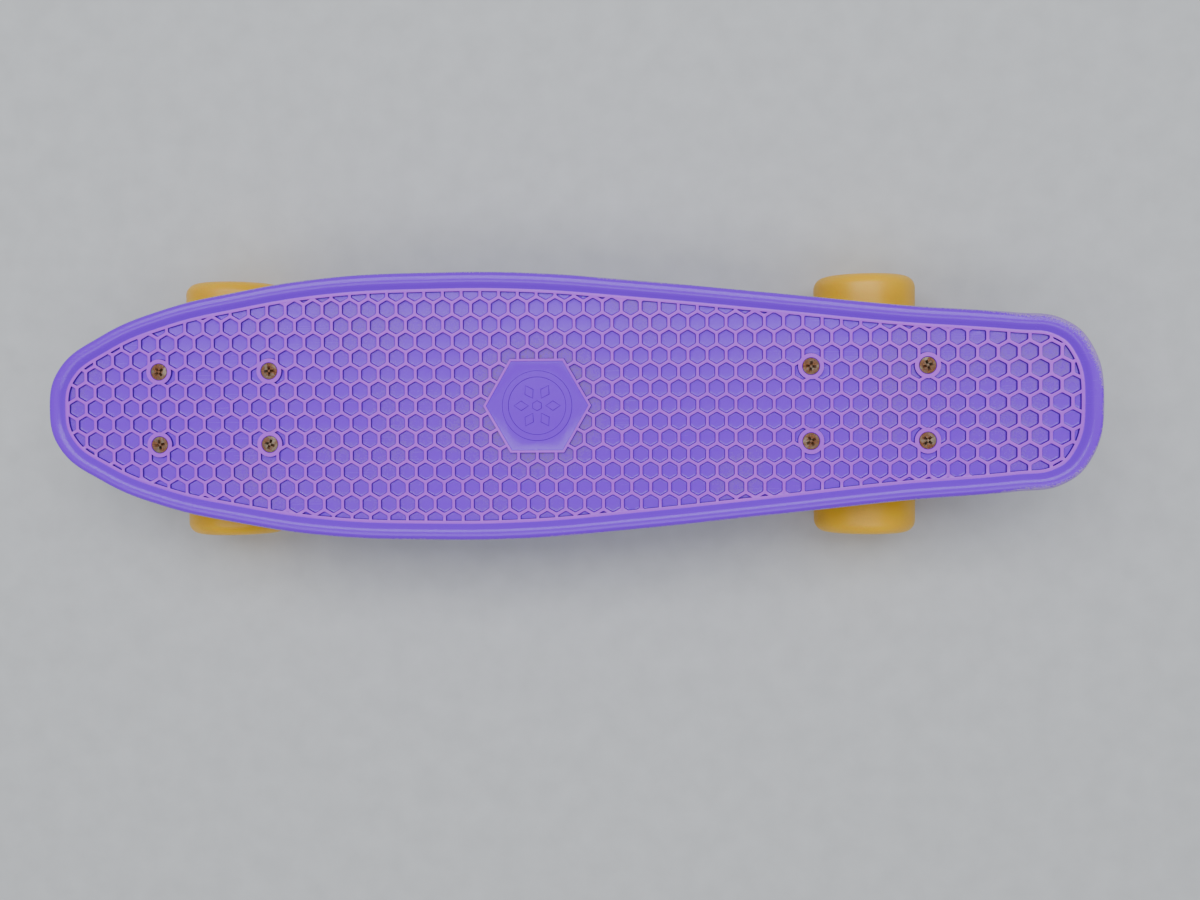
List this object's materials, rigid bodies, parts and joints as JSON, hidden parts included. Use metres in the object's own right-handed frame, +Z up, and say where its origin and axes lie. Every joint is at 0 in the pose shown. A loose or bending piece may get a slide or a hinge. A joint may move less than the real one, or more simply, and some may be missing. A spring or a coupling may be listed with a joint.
{
  "type": "skateboard",
  "caption": "Small moulded-plastic cruiser skateboard with a rising tail, two steering trucks and soft wide wheels.",
  "frame": {"origin": "on the ground under the middle of the board", "axes": "+X from nose to tail along the board, +Y to its side, +Z up"},
  "size_m": [0.584, 0.1504, 0.1044],
  "materials": {
    "deck_plastic": "moulded polypropylene, semi-gloss, scuffed along the rim and tail",
    "mounting_steel": "zinc-plated flat-head bolts with rust bloom",
    "zinc_steel": "zinc-plated, dull",
    "cast_aluminium": "tumbled gravity casting, satin",
    "pivot_plastic": "moulded acetal cup",
    "bushing_urethane": "translucent urethane, satin",
    "axle_steel": "ground steel",
    "wheel_urethane": "cast urethane, satin, dusty tread",
    "bearing_steel": "ground and polished steel",
    "bearing_shield": "pressed steel cover",
    "cage_nylon": "moulded nylon"
  },
  "bodies": {
    "nose_left_wheel": {"nose_left_wheel": "wheel_urethane", "nose_left_bearing_outer_rings": "bearing_steel", "nose_left_bearing_shields": "bearing_shield"},
    "nose_left_ball_set": {"nose_left_bearing_balls": "bearing_steel", "nose_left_bearing_cages": "cage_nylon"},
    "nose_right_wheel": {"nose_right_wheel": "wheel_urethane", "nose_right_bearing_outer_rings": "bearing_steel", "nose_right_bearing_shields": "bearing_shield"},
    "nose_right_ball_set": {"nose_right_bearing_balls": "bearing_steel", "nose_right_bearing_cages": "cage_nylon"},
    "nose_hanger_set": {"nose_hanger": "cast_aluminium", "nose_axle": "axle_steel", "nose_axle_washers": "zinc_steel", "nose_axle_nuts": "zinc_steel", "nose_left_bearing_inner_rings": "bearing_steel", "nose_left_bearing_spacer": "axle_steel", "nose_right_bearing_inner_rings": "bearing_steel", "nose_right_bearing_spacer": "axle_steel"},
    "tail_left_wheel": {"tail_left_wheel": "wheel_urethane", "tail_left_bearing_outer_rings": "bearing_steel", "tail_left_bearing_shields": "bearing_shield"},
    "tail_left_ball_set": {"tail_left_bearing_balls": "bearing_steel", "tail_left_bearing_cages": "cage_nylon"},
    "tail_right_wheel": {"tail_right_wheel": "wheel_urethane", "tail_right_bearing_outer_rings": "bearing_steel", "tail_right_bearing_shields": "bearing_shield"},
    "tail_right_ball_set": {"tail_right_bearing_balls": "bearing_steel", "tail_right_bearing_cages": "cage_nylon"},
    "tail_hanger_set": {"tail_hanger": "cast_aluminium", "tail_axle": "axle_steel", "tail_axle_washers": "zinc_steel", "tail_axle_nuts": "zinc_steel", "tail_left_bearing_inner_rings": "bearing_steel", "tail_left_bearing_spacer": "axle_steel", "tail_right_bearing_inner_rings": "bearing_steel", "tail_right_bearing_spacer": "axle_steel"},
    "board": {"deck": "deck_plastic", "nose_mounting_bolts": "mounting_steel", "nose_mounting_nuts": "zinc_steel", "nose_baseplate": "cast_aluminium", "nose_pivot_cup": "pivot_plastic", "nose_kingpin": "zinc_steel", "nose_kingpin_nut": "zinc_steel", "nose_board_bushing": "bushing_urethane", "nose_road_bushing": "bushing_urethane", "nose_cup_washers": "zinc_steel", "tail_mounting_bolts": "mounting_steel", "tail_mounting_nuts": "zinc_steel", "tail_baseplate": "cast_aluminium", "tail_pivot_cup": "pivot_plastic", "tail_kingpin": "zinc_steel", "tail_kingpin_nut": "zinc_steel", "tail_board_bushing": "bushing_urethane", "tail_road_bushing": "bushing_urethane", "tail_cup_washers": "zinc_steel"}
  },
  "joints": [
    {"name": "nose_steer", "type": "hinge", "parent": "board", "child": "nose_hanger_set", "pos_m": [-0.218, 0, 0.064], "axis": [0.8812, 0, -0.4728], "range_deg": [-12, 12], "stiffness_Nm_per_rad": 30, "deforming": ["nose_board_bushing", "nose_road_bushing"]},
    {"name": "tail_steer", "type": "hinge", "parent": "board", "child": "tail_hanger_set", "pos_m": [0.193, 0, 0.064], "axis": [-0.8812, 0, -0.4728], "range_deg": [-12, 12], "stiffness_Nm_per_rad": 30, "deforming": ["tail_board_bushing", "tail_road_bushing"]},
    {"name": "nose_left_wheel_spin", "type": "hinge", "parent": "nose_hanger_set", "child": "nose_left_wheel", "pos_m": [-0.2015, 0, 0.0295], "axis": [0, 1, 0], "continuous": true},
    {"name": "nose_left_ball_orbit", "type": "hinge", "parent": "nose_hanger_set", "child": "nose_left_ball_set", "pos_m": [-0.2015, 0, 0.0295], "axis": [0, 1, 0], "continuous": true},
    {"name": "nose_right_wheel_spin", "type": "hinge", "parent": "nose_hanger_set", "child": "nose_right_wheel", "pos_m": [-0.2015, 0, 0.0295], "axis": [0, 1, 0], "continuous": true},
    {"name": "nose_right_ball_orbit", "type": "hinge", "parent": "nose_hanger_set", "child": "nose_right_ball_set", "pos_m": [-0.2015, 0, 0.0295], "axis": [0, 1, 0], "continuous": true},
    {"name": "tail_left_wheel_spin", "type": "hinge", "parent": "tail_hanger_set", "child": "tail_left_wheel", "pos_m": [0.1765, 0, 0.0295], "axis": [0, 1, 0], "continuous": true},
    {"name": "tail_left_ball_orbit", "type": "hinge", "parent": "tail_hanger_set", "child": "tail_left_ball_set", "pos_m": [0.1765, 0, 0.0295], "axis": [0, 1, 0], "continuous": true},
    {"name": "tail_right_wheel_spin", "type": "hinge", "parent": "tail_hanger_set", "child": "tail_right_wheel", "pos_m": [0.1765, 0, 0.0295], "axis": [0, 1, 0], "continuous": true},
    {"name": "tail_right_ball_orbit", "type": "hinge", "parent": "tail_hanger_set", "child": "tail_right_ball_set", "pos_m": [0.1765, 0, 0.0295], "axis": [0, 1, 0], "continuous": true}
  ],
  "couplings": [
    {"joint": "nose_left_ball_orbit", "follows": "nose_left_wheel_spin", "ratio": 0.6286},
    {"joint": "nose_right_ball_orbit", "follows": "nose_right_wheel_spin", "ratio": 0.6286},
    {"joint": "tail_left_ball_orbit", "follows": "tail_left_wheel_spin", "ratio": 0.6286},
    {"joint": "tail_right_ball_orbit", "follows": "tail_right_wheel_spin", "ratio": 0.6286}
  ]
}
